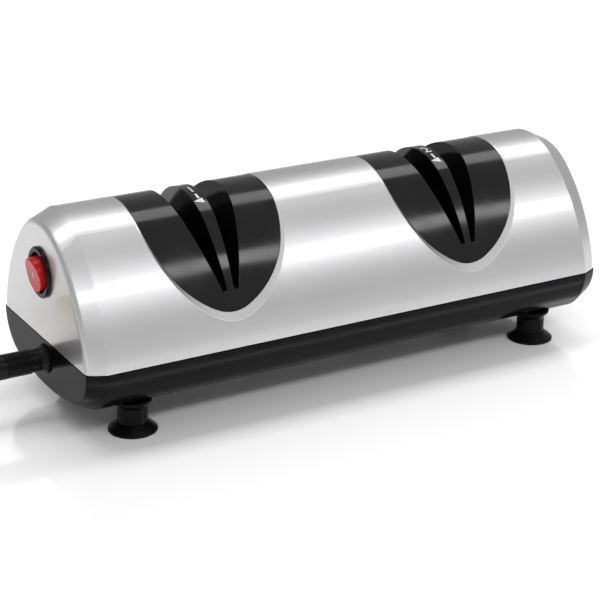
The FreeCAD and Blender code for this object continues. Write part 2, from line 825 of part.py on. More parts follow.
def stator_coils():
    coils = []
    inner = stator_half - yoke
    reach = stator_half_length + coil_overhang
    hollow = rod(pole_bore + pole_shoe + air_gap, (-reach - 1, 0, shaft_height), X_AXIS, 2 * reach + 2)
    for up in (-1, 1):
        z0, z1 = sorted((shaft_height + up * coil_low, shaft_height + up * inner))
        body = box(-reach, reach, -coil_half_width, coil_half_width, z0, z1)
        body = body.makeFillet(coil_corner, [e for e in body.Edges if e.BoundBox.ZLength > 10])
        pole = box(-stator_half_length - air_gap, stator_half_length + air_gap,
                   -pole_half - air_gap, pole_half + air_gap, z0 - 1, z1 + 1)
        coils.append(body.cut(hollow).cut(pole))
    return Part.makeCompound(coils)


def motor_bracket(side):
    near, far = bracket_near, bracket_near + bracket_wall
    plate = box(near, far, -stator_half, stator_half, shaft_height - bracket_half,
                shaft_height + bracket_half)
    plate = plate.makeFillet(bracket_corner, along_x(plate, bracket_wall))
    hub = rod(bracket_hub, (near - 1, 0, shaft_height), X_AXIS, bracket_wall + 1 + hub_wall)
    sleeves = [rod(bolt_sleeve, (stator_half_length, sy * bolt_y, shaft_height), X_AXIS,
                   near - stator_half_length + 1) for sy in (-1, 1)]
    bracket = joined(plate, hub, *sleeves)
    holes = [rod(bolt_radius, (0, sy * bolt_y, shaft_height), X_AXIS, 50) for sy in (-1, 1)]
    holes.append(rod(bush_outer, (0, 0, shaft_height), X_AXIS, 50))
    bracket = bracket.cut(Part.makeCompound(holes))
    return bracket if side > 0 else bracket.mirror(V(0, 0, 0), X_AXIS)


def shaft_bush(side):
    start = bracket_near
    bush = rod(bush_outer, (start, 0, shaft_height), X_AXIS, bush_length)
    bush = bush.cut(rod(shaft_radius + running_gap, (0, 0, shaft_height), X_AXIS, 50))
    return bush if side > 0 else bush.mirror(V(0, 0, 0), X_AXIS)


def motor_bolts():
    bolts = []
    far = bracket_near + bracket_wall
    for sy in (-1, 1):
        y = sy * bolt_y
        shank = rod(bolt_radius, (-far, y, shaft_height), X_AXIS, 2 * far + bolt_beyond)
        head = rod(bolt_head, (-far, y, shaft_height), -X_AXIS, bolt_head_height)
        nut = hexagon(2 * bolt_head, far, far + bolt_nut_height, y, shaft_height)
        bolts.append(joined(shank, head, nut))
    return Part.makeCompound(bolts)


def shaft_line(beyond=1):
    """The shaft's own cylinder, longer by a little where it cuts bores."""
    reach = shaft_half + beyond
    return rod(shaft_radius, (-reach, 0, shaft_height), X_AXIS, 2 * reach)


def motor_shaft():
    shaft = shaft_line(0)
    rims = [e for e in shaft.Edges if e.Curve.TypeId == "Part::GeomCircle"]
    return shaft.makeChamfer(shaft_chamfer, rims)


def rotor_core():
    radius = pole_bore - air_gap
    core = rod(radius, (-stator_half_length, 0, shaft_height), X_AXIS, 2 * stator_half_length)
    slots = []
    for slot in range(rotor_slots):
        cut = box(-stator_half_length - 1, stator_half_length + 1, -slot_half, slot_half,
                  radius - slot_depth, radius + 1)
        cut.rotate(V(0, 0, 0), X_AXIS, 360 * slot / rotor_slots)
        cut.translate(V(0, 0, shaft_height))
        slots.append(cut)
    core = core.cut(Part.makeCompound(slots))
    rings = [rod(radius - 1.0, (x, 0, shaft_height), X_AXIS, end_ring)
             for x in (-stator_half_length - end_ring, stator_half_length)]
    core = joined(core, *rings)
    return core.cut(shaft_line())


def cooling_fan():
    disc = rod(fan_radius, (fan_x, 0, shaft_height), X_AXIS, fan_disc)
    hub = rod(fan_hub, (fan_x, 0, shaft_height), X_AXIS, fan_length)
    blades = []
    for blade in range(fan_blades):
        vane = box(fan_x, fan_x + fan_length, -vane_half, vane_half, fan_hub - 0.5, fan_radius - 0.6)
        vane.rotate(V(0, 0, 0), X_AXIS, 360 * blade / fan_blades)
        vane.translate(V(0, 0, shaft_height))
        blades.append(vane)
    fan = joined(disc, hub, *blades)
    return fan.cut(shaft_line())


def wheel(side):
    """Grinding wheel with both rims bevelled, so that one knife edge meets each side."""
    x = side * stage_x
    right = [(wheel_rim_half, wheel_radius), (wheel_half, wheel_bevel_start), (wheel_half, wheel_bore)]
    outline = [(x - px, r) for px, r in reversed(right)] + [(x + px, r) for px, r in right]
    return turned([(px, 0, shaft_height + r) for px, r in outline], (0, 0, shaft_height), X_AXIS)


def wheel_hub(side):
    near = stage_x - wheel_half
    far = near + 2 * wheel_half
    outline = [(near - hub_length, shaft_radius), (near - hub_length, hub_neck),
               (near - hub_flange, hub_neck), (near - hub_flange, hub_radius), (near, hub_radius),
               (near, wheel_bore), (far, wheel_bore), (far, shaft_radius)]
    return turned([(side * px, 0, shaft_height + r) for px, r in outline], (0, 0, shaft_height), X_AXIS)


def wheel_washer(side):
    near = side * (stage_x + wheel_half)
    ring = rod(hub_radius, (near, 0, shaft_height), X_AXIS * side, washer_thickness)
    return ring.cut(shaft_line())


def wheel_nut(side):
    near = stage_x + wheel_half + washer_thickness
    x0, x1 = sorted((side * near, side * (near + nut_length)))
    nut = hexagon(nut_across, x0, x1, 0, shaft_height)
    return nut.cut(shaft_line())


def motor_strap():
    outer = rounded_square(stator_half + strap_thickness, stator_corner + strap_thickness,
                           -strap_half, strap_half, shaft_height)
    inner = rounded_square(stator_half, stator_corner, -strap_half - 1, strap_half + 1, shaft_height)
    band = outer.cut(inner).cut(box(-20, 20, -50, 50, 0, strap_height + stator_corner))
    feet = []
    for sy in (-1, 1):
        y0, y1 = sorted((sy * stator_half, sy * (stator_half + strap_thickness)))
        feet.append(box(-strap_half, strap_half, y0, y1, strap_height,
                        strap_height + stator_corner + 1))
        y0, y1 = sorted((sy * stator_half, sy * strap_end))
        feet.append(box(-strap_half, strap_half, y0, y1, strap_height, strap_height + strap_thickness))
    strap = joined(band, *feet)
    holes = pair(lambda sy: rod(small_screw + hole_slack, (0, sy * strap_screw_y, 0), Z_AXIS, shaft_height))
    return strap.cut(Part.makeCompound(holes))


def switch_body():
    """Bezel and case, turned about the switch's own axis, with a snap rib behind the wall."""
    front = -half - bezel_thickness
    back, wall = -half + switch_depth, -half + cover_wall
    outline = [(front + 0.5, bezel_radius), (front, bezel_radius - 0.6), (front, switch_well + 0.3),
               (front + 0.4, switch_well), (front + well_floor, switch_well), (front + well_floor, 0),
               (back, 0), (back, switch_radius - 0.8), (wall + snap_length, switch_radius),
               (wall, switch_radius + snap_height), (wall, switch_radius), (-half, switch_radius),
               (-half, bezel_radius)]
    case = turned([(px, 0, switch_height + r) for px, r in outline], (0, 0, switch_height), X_AXIS)
    return case.cut(rod(pivot_radius + running_gap, (pivot_x, -pin_reach, switch_height), Y_AXIS,
                        2 * pin_reach))


def rocker_button():
    """Round rocker, modelled level and then tilted to its photographed position."""
    depth = rocker_face + rocker_inside
    body = rod(rocker_radius, (pivot_x - rocker_face, 0, switch_height), X_AXIS, depth)
    rim = [e for e in body.Edges if e.BoundBox.XMax < pivot_x - rocker_face + 0.01]
    body = body.makeFillet(rocker_edge, rim)
    dish = rod(rocker_dish, (pivot_x - rocker_face - rocker_dish + dish_depth, -rocker_radius,
                             switch_height), Y_AXIS, 2 * rocker_radius)
    pin = pin_reach - pin_play
    pins = rod(pivot_radius, (pivot_x, -pin, switch_height), Y_AXIS, 2 * pin)
    rocker = joined(body.cut(dish), pins)
    rocker.rotate(V(pivot_x, 0, switch_height), Y_AXIS, -rocker_travel / 2)
    return rocker


def switch_terminals():
    back = -half + switch_depth
    blades = []
    for up in (-1, 1):
        low = switch_height + up * terminal_z - terminal_thickness / 2
        blades.append(box(back, back + terminal_length, -terminal_half, terminal_half,
                          low, low + terminal_thickness))
    return Part.makeCompound(blades)


def cord_inner():
    start = -half - relief_length
    return rod(cord_radius, (start, 0, cord_height), X_AXIS, cord_inner_end - start)


def cord_clamp():
    bar = box(clamp_x - clamp_half, clamp_x + clamp_half, -clamp_half_width, clamp_half_width,
              cord_height + clamp_gap, clamp_top)
    holes = [rod(small_screw + hole_slack, (clamp_x, sy * clamp_screw_y, 0), Z_AXIS, 50) for sy in (-1, 1)]
    holes.append(rod(cord_radius, (clamp_x - 5, 0, cord_height), X_AXIS, 10))
    return bar.cut(Part.makeCompound(holes))


def between(start, end, share):
    return start + (end - start) * share


def supply_leads():
    """One lead from the cord up to the switch, and one past the left wheel to the motor."""
    tip = -half + switch_depth + terminal_length
    turn_x = cord_inner_end + 11
    coil_end = -stator_half_length - coil_overhang
    blade_z = switch_height + terminal_z
    up = [(cord_inner_end, lead_apart, cord_height), (cord_inner_end + 6, lead_apart, cord_height),
          (turn_x, 5, 31), (between(turn_x, tip, 0.08), 7, 43), (between(turn_x, tip, 0.36), 5, 54),
          (between(turn_x, tip, 0.68), 0, blade_z), (tip, 0, blade_z)]
    across = [(cord_inner_end, -lead_apart, cord_height), (cord_inner_end + 6, -lead_apart, cord_height),
              (-stage_x - 15, -12, 26), (-stage_x - 7, -26, 30), (-stage_x + 6, -28, 33), (-36, -27, 39),
              (coil_end - 7, -12.5, 50), (coil_end, -12.5, 50)]
    return Part.makeCompound([tube(up, lead_radius)[0], tube(across, lead_radius)[0]])


def motor_lead():
    """The lead from the switch past the left wheel to the motor's other winding."""
    tip = -half + switch_depth + terminal_length
    coil_end = -stator_half_length - coil_overhang
    blade_z = switch_height - terminal_z
    places = [(0, 0, blade_z), (0.09, 0, blade_z), (0.18, 10, 52), (0.28, 19, 46), (0.42, 27, 40),
              (0.61, 28.5, 37), (0.79, 27, 41), (0.91, 12.5, 50), (1, 12.5, 50)]
    return tube([(between(tip, coil_end, share), y, z) for share, y, z in places], lead_radius)[0]


def plug(start):
    """Two-blade plug lying along X from where the cord's coil ends."""
    x, y, z = start
    slope = (plug_neck_end - plug_neck_start) / (plug_neck - plug_neck_plain)
    pitch = (plug_neck - plug_neck_plain) / plug_ribs
    outline = [(0, 0), (0, plug_neck_start), (plug_neck_plain, plug_neck_start)]
    for rib in range(plug_ribs):
        at = plug_neck_plain + rib * pitch
        radius = plug_neck_start + slope * (at - plug_neck_plain)
        outline += [(at + 0.2 * pitch, radius + plug_rib), (at + 0.7 * pitch, radius + plug_rib),
                    (at + 0.9 * pitch, radius)]
    outline += [(plug_neck, plug_neck_end), (plug_neck + 2, plug_neck_end + 1), (plug_neck + 2, 0)]
    neck = turned([(x + out, y, z + r) for out, r in outline], (x, y, z), X_AXIS)
    front = x + plug_neck
    body = box(front, front + plug_length, y - plug_half_width, y + plug_half_width,
               z - plug_half_height, z + plug_half_height)
    body = body.makeFillet(plug_round, along_x(body, plug_length))
    blades = []
    for side in (-1, 1):
        mid = y + side * blade_gap / 2
        blades.append(box(front + plug_length - blade_root, front + plug_length + blade_length,
                          mid - blade_half_thickness, mid + blade_half_thickness,
                          z - blade_half_height, z + blade_half_height))
    blades = Part.makeCompound(blades)
    return joined(neck, body).cut(blades), blades


os.makedirs("parts", exist_ok=True)
save("upper_cover", upper_cover())
save("base_pan", base_pan())
for name, side in (("coarse", -1), ("fine", 1)):
    save(name + "_guide", knife_guide(side))
    save(name + "_wheel", wheel(side))
    save(name + "_hub", wheel_hub(side))
    save(name + "_washer", wheel_washer(side))
    save(name + "_nut", wheel_nut(side))
for name, side in (("left", -1), ("right", 1)):
    save("motor_bracket_" + name, motor_bracket(side))
    save("shaft_bush_" + name, shaft_bush(side))
    save("foot_front_" + name, suction_foot(side, -1))
    save("foot_rear_" + name, suction_foot(side, 1))
save("stator_core", stator_core())
save("stator_coils", stator_coils())
save("motor_bolts", motor_bolts())
save("motor_shaft", motor_shaft())
save("rotor_core", rotor_core())
save("cooling_fan", cooling_fan())
save("motor_pads", Part.makeCompound(pair(
    lambda sy: pad_block(sy, pad_bottom, pad_bottom + pad_thickness))))
save("motor_strap", motor_strap())
save("strap_screws", Part.makeCompound(pair(
    lambda sy: small((0, sy * strap_screw_y, strap_height + strap_thickness), -Z_AXIS,
                     strap_thickness + strap_screw_length))))
save("housing_screws", Part.makeCompound(four(
    lambda sx, sy: screw((sx * screw_x, sy * screw_y, column_ledge), Z_AXIS, screw_length,
                         screw_radius, head_radius, head_height))))
save("guide_screws", Part.makeCompound(four(
    lambda sx, sy: small((sx * stage_x, sy * (boss_y - guide_tab_wall), guide_boss_height), Y_AXIS * sy,
                         guide_tab_wall + guide_boss_length))))
save("switch_body", switch_body())
save("rocker_button", rocker_button())
save("switch_terminals", switch_terminals())
save("strain_relief", ribbed_sleeve())
save("cord_inner", cord_inner())
save("cord_clamp", cord_clamp())
save("clamp_screws", Part.makeCompound(pair(
    lambda sy: small((clamp_x, sy * clamp_screw_y, clamp_top), -Z_AXIS, clamp_screw_length))))
save("supply_leads", supply_leads())
save("motor_lead", motor_lead())
free, free_length, radii = tube(cord_points, cord_radius)
save("power_cord", free)
print("cord bend radii", radii, "volume over section times length %.3f"
      % (free.Volume / (math.pi * cord_radius ** 2 * free_length)))
coil, coil_end, coil_length = cord_coil()
save("cord_coil", coil)
body, blades = plug(coil_end)
save("plug_body", body)
save("plug_blades", blades)
print("cord length %.0f, facets in all %d" % (free_length + coil_length + relief_length, sum(facets)))
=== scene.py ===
"""Electric knife sharpener: finishes, cord, printed marks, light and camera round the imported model."""
import bmesh
import bpy
import math
from mathutils import Matrix, Quaternion, Vector


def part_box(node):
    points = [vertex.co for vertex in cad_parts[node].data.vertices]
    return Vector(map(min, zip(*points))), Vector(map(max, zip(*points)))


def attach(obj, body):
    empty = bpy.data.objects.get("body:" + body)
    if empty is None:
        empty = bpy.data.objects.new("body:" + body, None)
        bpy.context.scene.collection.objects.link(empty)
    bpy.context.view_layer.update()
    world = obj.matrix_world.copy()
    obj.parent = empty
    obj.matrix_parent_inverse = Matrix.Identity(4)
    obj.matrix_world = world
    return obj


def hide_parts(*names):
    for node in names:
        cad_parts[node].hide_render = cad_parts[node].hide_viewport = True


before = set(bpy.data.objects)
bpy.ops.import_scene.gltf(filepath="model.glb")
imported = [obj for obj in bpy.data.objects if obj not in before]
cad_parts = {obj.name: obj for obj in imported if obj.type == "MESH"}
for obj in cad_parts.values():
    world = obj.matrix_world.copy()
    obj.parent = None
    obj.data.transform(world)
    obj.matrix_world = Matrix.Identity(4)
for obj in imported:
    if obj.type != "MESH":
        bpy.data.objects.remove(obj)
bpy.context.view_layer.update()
MM = 0.001

# The origin lies half the rocker's reach to the right of the housing's own middle.
HOUSING_SHIFT = 2.4294 * MM

# Camera, fitted to the photograph
CAMERA_TARGET = Vector((-4.27 * MM + HOUSING_SHIFT, 0, 26.47 * MM))
CAMERA_LEFT_OF_FRONT = math.radians(30.0)
CAMERA_ELEVATION = math.radians(21.90)
CAMERA_DISTANCE = 779.82 * MM
CAMERA_ROLL = math.radians(0.55)
CAMERA_LENS = 110.5
CAMERA_SHIFT = (0.00125, -0.0006)

# Cord: the route's points in the housing's own millimetres, as in the part's source
CORD_DIAMETER = 6.0
CORD_ROUTE = [
    (-162.0, 0.0, 23.7), (-174.0, 0.0, 23.7), (-186.0, -1.0, 20.6), (-197.5, -3.2, 14.4),
    (-208.5, -5.4, 8.0), (-219.0, -7.2, 4.0), (-229.5, -8.0, 3.05), (-234.0, -8.0, 3.05),
]
COIL_TURNS = 3.5
COIL_STEP = 6.5
COIL_OUTER = 42.5
CLIMB_TURNS = 0.5
COIL_POINTS_A_TURN = 32

# Printed marks on the guides' centre strips, in millimetres along the crown
CROWN_RADIUS = 27.87
PRINT_LIFT = 0.06
PRINT_THICKNESS = 0.04
NUMERAL_HEIGHT = 5.2
CAPITALS_IN_SIZE = 0.7
NUMERAL_FOOT = 4.6
ARROW_START = 6.4
ARROW_END = 12.6
ARROW_HEAD = 3.1
ARROW_HALF_WIDTH = 1.45
ARROW_STEM = 0.5
PRINT_CUTS = 23
PRINT_CUT_START = -2.0
PRINT_CUT_STEP = 0.7
STAGE_X = 56.0

# The dash on the rocker, and the rocker's pivot and middle face, in millimetres
DASH_WIDTH = 0.7
DASH_HEIGHT = 3.0
DASH_DEPTH = 0.2
ROCKER_PIVOT = (-119.0, 60.2)
ROCKER_FACE = 4.34
ROCKER_LEAN = math.radians(9.0)

# Floor and room
FLOOR_SIZE = 4.0
FLOOR_ROUGHNESS = 0.5
FLOOR_TONE = (0.92, 0.92, 0.92)
FLOOR_TO_THE_EYE = (1.20, 1.20, 1.20)
FLOOR_POLISH = (0.50, 0.50, 0.50)
POLISH_ROUGHNESS = 0.10
GLOW_STARTS = 0.35
GLOW_IS_FULL = 1.8
FAR_GLOW = 0.6
ROOM_LIGHT = 0.40

# Lamps, in metres
LAMP_DISTANCE = 1.25
LAMP_LENGTH = 2.4
LAMP_SIDEWAYS = 0.35


# Helpers

def in_scene(place):
    """A place in the housing's own millimetres, in the scene's metres."""
    return place * MM + Vector((HOUSING_SHIFT, 0, 0))


def add_object(name, data):
    thing = bpy.data.objects.new(name, data)
    bpy.context.scene.collection.objects.link(thing)
    return thing


def as_mesh(name, shape):
    mesh = bpy.data.meshes.new(name)
    shape.to_mesh(mesh)
    shape.free()
    return mesh


# Finishes

def finish(name, colour, roughness, metallic=0.0, coat=0.0, coat_roughness=0.05, specular=0.5):
    """A new material with its shader's plain values set on the shader itself."""
    material = bpy.data.materials.new(name)
    material.use_nodes = True
    shader = material.node_tree.nodes["Principled BSDF"]
    shader.inputs["Base Color"].default_value = (*colour, 1)
    shader.inputs["Roughness"].default_value = roughness
    shader.inputs["Metallic"].default_value = metallic
    shader.inputs["Coat Weight"].default_value = coat
    shader.inputs["Coat Roughness"].default_value = coat_roughness
    shader.inputs["Specular IOR Level"].default_value = specular
    return material


def speckle(material, scale, detail=3.0, stretch=(1, 1, 1)):
    """Noise on Object coordinates, in periods per metre."""
    nodes, links = material.node_tree.nodes, material.node_tree.links
    place = nodes.new("ShaderNodeTexCoord")
    turn = nodes.new("ShaderNodeMapping")
    turn.inputs["Scale"].default_value = stretch
    noise = nodes.new("ShaderNodeTexNoise")
    noise.inputs["Scale"].default_value = scale
    noise.inputs["Detail"].default_value = detail
    links.new(place.outputs["Object"], turn.inputs["Vector"])
    links.new(turn.outputs["Vector"], noise.inputs["Vector"])
    return noise.outputs["Fac"]


def vary(material, value, low, high):
    """A roughness that wanders between two limits."""
    nodes, links = material.node_tree.nodes, material.node_tree.links
    spread = nodes.new("ShaderNodeMapRange")
    spread.inputs["From Min"].default_value = 0.3
    spread.inputs["From Max"].default_value = 0.7
    spread.inputs["To Min"].default_value = low
    spread.inputs["To Max"].default_value = high
    links.new(value, spread.inputs["Value"])
    links.new(spread.outputs["Result"], nodes["Principled BSDF"].inputs["Roughness"])


def tint(material, value, dark, light):
    """A colour that wanders between two shades."""
    nodes, links = material.node_tree.nodes, material.node_tree.links
    ramp = nodes.new("ShaderNodeValToRGB")
    ramp.color_ramp.elements[0].position = 0.3
    ramp.color_ramp.elements[0].color = (*dark, 1)
    ramp.color_ramp.elements[1].position = 0.7
    ramp.color_ramp.elements[1].color = (*light, 1)
    links.new(value, ramp.inputs["Fac"])
    links.new(ramp.outputs["Color"], nodes["Principled BSDF"].inputs["Base Color"])


def bands(material, direction, scale, distortion):
    """Fine parallel lines across one of the Object axes."""
    nodes, links = material.node_tree.nodes, material.node_tree.links
    place = nodes.new("ShaderNodeTexCoord")
    lines = nodes.new("ShaderNodeTexWave")
    lines.wave_type = "BANDS"
    lines.bands_direction = direction
    lines.inputs["Scale"].default_value = scale
    lines.inputs["Distortion"].default_value = distortion
    links.new(place.outputs["Object"], lines.inputs["Vector"])
    return lines.outputs["Fac"]


def relief(material, value, strength, depth, softness=0.0):
    """Bump from a texture, with edges rounded by a small radius where one is given."""
    nodes, links = material.node_tree.nodes, material.node_tree.links
    bump = nodes.new("ShaderNodeBump")
    bump.inputs["Strength"].default_value = strength
    bump.inputs["Distance"].default_value = depth
    links.new(value, bump.inputs["Height"])
    if softness:
        edge = nodes.new("ShaderNodeBevel")
        edge.samples = 4
        edge.inputs["Radius"].default_value = softness
        links.new(edge.outputs["Normal"], bump.inputs["Normal"])
    links.new(bump.outputs["Normal"], nodes["Principled BSDF"].inputs["Normal"])


def silver_lacquer():
    """Metallic silver lacquer under a thin clear coat."""
    material = finish("silver_lacquer", (0.72, 0.72, 0.73), 0.38, metallic=1.0, coat=1.0,
                      coat_roughness=0.10)
    material.node_tree.nodes["Principled BSDF"].inputs["Coat IOR"].default_value = 1.7
    flakes = speckle(material, 2600, detail=1.0)
    cloud = speckle(material, 14, detail=2.0)
    vary(material, cloud, 0.37, 0.40)
    tint(material, flakes, (0.70, 0.70, 0.71), (0.74, 0.74, 0.75))
    relief(material, flakes, 0.01, 0.01 * MM, softness=0.35 * MM)
    return material


def polished_black(name, roughness, softness, specular):
    """Gloss moulding, with the faint waviness and smears of handled plastic."""
    material = finish(name, (0.003, 0.003, 0.0033), roughness, specular=specular)
    smear = speckle(material, 60, detail=4.0, stretch=(1, 0.35, 1))
    wave = speckle(material, 26, detail=1.0)
    vary(material, smear, roughness * 0.75, roughness * 1.35)
    tint(material, smear, (0.002, 0.002, 0.0023), (0.004, 0.004, 0.0043))
    relief(material, wave, 0.04, 0.3 * MM, softness=softness)
    return material


def moulded(name, colour, roughness, grain=3000, bump=0.1, coat=0.0):
    """Plain moulded plastic or rubber with a fine grain."""
    material = finish(name, colour, roughness, coat=coat, specular=0.2)
    fine = speckle(material, grain, detail=2.0)
    broad = speckle(material, 90, detail=3.0)
    vary(material, broad, roughness * 0.85, roughness * 1.15)
    tint(material, broad, [c * 0.85 for c in colour], [c * 1.12 for c in colour])
    relief(material, fine, bump, 0.05 * MM, softness=0.2 * MM)
    return material


def metal(name, colour, roughness, stretch=(1, 1, 1), grain=900, bump=0.15):
    """Bare or plated metal with its working marks."""
    material = finish(name, colour, roughness, metallic=1.0)
    marks = speckle(material, grain, detail=4.0, stretch=stretch)
    vary(material, marks, roughness * 0.7, roughness * 1.4)
    tint(material, marks, [c * 0.82 for c in colour], [min(c * 1.08, 1) for c in colour])
    relief(material, marks, bump, 0.03 * MM, softness=0.15 * MM)
    return material


def grit(name, dark, light, grain):
    """Abrasive grains bonded on a steel disc."""
    material = finish(name, light, 0.55, metallic=0.6)
    grains = speckle(material, grain, detail=2.0)
    tint(material, grains, dark, light)
    vary(material, grains, 0.35, 0.8)
    relief(material, grains, 0.8, 0.12 * MM)
    return material


def laminated_sheet():
    """Edges of stacked electrical sheet, with a fine line at each sheet."""
    material = finish("laminated_sheet", (0.28, 0.28, 0.29), 0.42, metallic=1.0)
    sheets = bands(material, "X", 320, 0.3)
    tint(material, sheets, (0.16, 0.16, 0.17), (0.34, 0.34, 0.35))
    vary(material, speckle(material, 500), 0.35, 0.5)
    relief(material, sheets, 0.4, 0.08 * MM)
    return material


def enamelled_copper():
    """Closely wound wire, as fine lines across the coil."""
    material = finish("enamelled_copper", (0.50, 0.19, 0.07), 0.28, metallic=0.9, coat=0.5)
    wires = bands(material, "Z", 420, 0.8)
    tint(material, wires, (0.22, 0.07, 0.02), (0.60, 0.25, 0.09))
    vary(material, speckle(material, 700), 0.2, 0.4)
    relief(material, wires, 0.6, 0.2 * MM)
    return material


def printed_ink():
    """White ink, slightly uneven."""
    material = finish("printed_ink", (0.86, 0.86, 0.86), 0.45)
    pores = speckle(material, 4000, detail=1.0)
    vary(material, pores, 0.38, 0.55)
    tint(material, pores, (0.80, 0.80, 0.80), (0.90, 0.90, 0.90))
    relief(material, pores, 0.05, 0.01 * MM)
    return material


def sheath(name, colour, roughness):
    """Satin cover of a cord or wire, with a fine grain."""
    material = finish(name, colour, roughness, specular=0.25)
    fine = speckle(material, 1800, detail=3.0)
    vary(material, speckle(material, 120), roughness * 0.85, roughness * 1.2)
    tint(material, fine, [c * 0.8 for c in colour], [c * 1.2 for c in colour])
    relief(material, fine, 0.08, 0.05 * MM)
    return material


silver = silver_lacquer()
black_base = polished_black("polished_black_base", 0.20, 0.4 * MM, 0.10)
black_guide = polished_black("polished_black_guide", 0.13, 0.25 * MM, 0.55)
black_bezel = polished_black("bezel_black", 0.16, 0.2 * MM, 0.2)
rocker_red = moulded("rocker_red", (0.62, 0.010, 0.010), 0.24, grain=1500, bump=0.02, coat=0.1)
suction_rubber = moulded("suction_rubber", (0.004, 0.004, 0.004), 0.30, grain=2400, bump=0.08)
sleeve_rubber = moulded("sleeve_rubber", (0.004, 0.004, 0.004), 0.36, grain=2600, bump=0.08)
plug_rubber = moulded("plug_rubber", (0.015, 0.015, 0.015), 0.45, grain=1600, bump=0.25)
inner_plastic = moulded("inner_plastic", (0.03, 0.03, 0.03), 0.5)
zinc_sheet = metal("zinc_sheet", (0.55, 0.56, 0.57), 0.32, stretch=(1, 6, 1))
screw_zinc = metal("screw_zinc", (0.60, 0.60, 0.61), 0.28)
ground_steel = metal("ground_steel", (0.62, 0.62, 0.63), 0.16, stretch=(14, 1, 1), bump=0.05)
turned_aluminium = metal("turned_aluminium", (0.72, 0.72, 0.73), 0.24, stretch=(10, 1, 1))
sintered_bronze = metal("sintered_bronze", (0.46, 0.30, 0.14), 0.40, grain=2200)
contact_brass = metal("contact_brass", (0.72, 0.55, 0.26), 0.24, stretch=(1, 8, 1))
coarse_grit = grit("coarse_grit", (0.10, 0.10, 0.10), (0.42, 0.41, 0.39), 2200)
fine_grit = grit("fine_grit", (0.34, 0.32, 0.30), (0.66, 0.64, 0.60), 4200)
laminations = laminated_sheet()
copper = enamelled_copper()
ink = printed_ink()
cord_sheath = sheath("cord_sheath", (0.005, 0.005, 0.005), 0.42)
brown_wire = sheath("brown_wire", (0.16, 0.055, 0.02), 0.4)
blue_wire = sheath("blue_wire", (0.02, 0.07, 0.30), 0.4)

# The nodes that aren't named here are lengths of the cord.
NODE_FINISH = {
    "upper_cover": silver, "base_pan": black_base,
    "coarse_guide": black_guide, "fine_guide": black_guide,
    "switch_body": black_bezel, "rocker_button": rocker_red, "strain_relief": sleeve_rubber,
    "cord_inner": cord_sheath, "cord_clamp": inner_plastic, "plug_body": plug_rubber,
    "plug_blades": contact_brass, "switch_terminals": contact_brass, "supply_leads": brown_wire,
    "motor_lead": blue_wire, "stator_core": laminations, "rotor_core": laminations, "stator_coils": copper,
    "motor_bracket_left": zinc_sheet, "motor_bracket_right": zinc_sheet, "motor_strap": zinc_sheet,
    "shaft_bush_left": sintered_bronze, "shaft_bush_right": sintered_bronze, "motor_shaft": ground_steel,
    "cooling_fan": inner_plastic, "motor_pads": suction_rubber, "coarse_wheel": coarse_grit,
    "fine_wheel": fine_grit, "coarse_hub": turned_aluminium, "fine_hub": turned_aluminium,
}
for end in ("front_left", "front_right", "rear_left", "rear_right"):
    NODE_FINISH["foot_" + end] = suction_rubber
for name in ("coarse_washer", "fine_washer", "coarse_nut", "fine_nut", "motor_bolts", "strap_screws",
             "housing_screws", "guide_screws", "clamp_screws"):
    NODE_FINISH[name] = screw_zinc
for name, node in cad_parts.items():
    node.data.materials.clear()
    node.data.materials.append(NODE_FINISH.get(name, cord_sheath))


# Camera

def photograph_camera():
    """The camera of the photograph, at the place that was fitted to it."""
    lens = bpy.data.cameras.new("photograph_camera")
    lens.lens = CAMERA_LENS
    lens.sensor_width = 36.0
    lens.shift_x, lens.shift_y = CAMERA_SHIFT
    lens.clip_end = 20
    camera = add_object("photograph_camera", lens)
    level = math.cos(CAMERA_ELEVATION)
    away = Vector((-math.sin(CAMERA_LEFT_OF_FRONT) * level, -math.cos(CAMERA_LEFT_OF_FRONT) * level,
                   math.sin(CAMERA_ELEVATION)))
    aim = (-away).to_track_quat("-Z", "Y") @ Quaternion((0, 0, 1), CAMERA_ROLL)
    place = Matrix.Translation(CAMERA_TARGET + away * CAMERA_DISTANCE)
    camera.matrix_world = place @ aim.to_matrix().to_4x4()
    bpy.context.scene.camera = camera


# Cord

def coil_route():
    """Loops that spiral in, climb one layer where they turn back, and spiral out."""
    start = Vector(CORD_ROUTE[-1]) - Vector((CORD_DIAMETER, 0, 0))
    centre = start + Vector((0, COIL_OUTER, 0))
    middle = COIL_TURNS + CLIMB_TURNS / 2
    steps = int(round(2 * middle * COIL_POINTS_A_TURN))
    route = []
    for step in range(steps + 1):
        turns = step / COIL_POINTS_A_TURN
        radius = COIL_OUTER - COIL_STEP * (middle - abs(turns - middle))
        climb = min(max((turns - COIL_TURNS) / CLIMB_TURNS, 0), 1)
        angle = -math.pi / 2 - 2 * math.pi * turns
        outwards = Vector((radius * math.cos(angle), radius * math.sin(angle), climb * COIL_STEP))
        route.append(centre + outwards)
    route.append(route[-1] + Vector((CORD_DIAMETER, 0, 0)))
    return route


def mains_cord():
    """The cord from its sleeve to the plug, as one smooth curve in place of its two solid nodes."""
    points = [Vector(p) for p in CORD_ROUTE] + coil_route()
    curve = bpy.data.curves.new("mains_cord", "CURVE")
    curve.dimensions = "3D"
    curve.resolution_u = 6
    curve.bevel_depth = CORD_DIAMETER / 2 * MM
    curve.bevel_resolution = 5
    curve.use_fill_caps = True
    spline = curve.splines.new("NURBS")
    spline.points.add(len(points) - 1)
    for point, place in zip(spline.points, points):
        point.co = (*in_scene(place), 1)
    spline.order_u = 3
    spline.use_endpoint_u = True
    curve.materials.append(cord_sheath)
    cord = add_object("mains_cord", curve)
    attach(cord, "housing")
    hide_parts("power_cord", "cord_coil")


# Printed marks

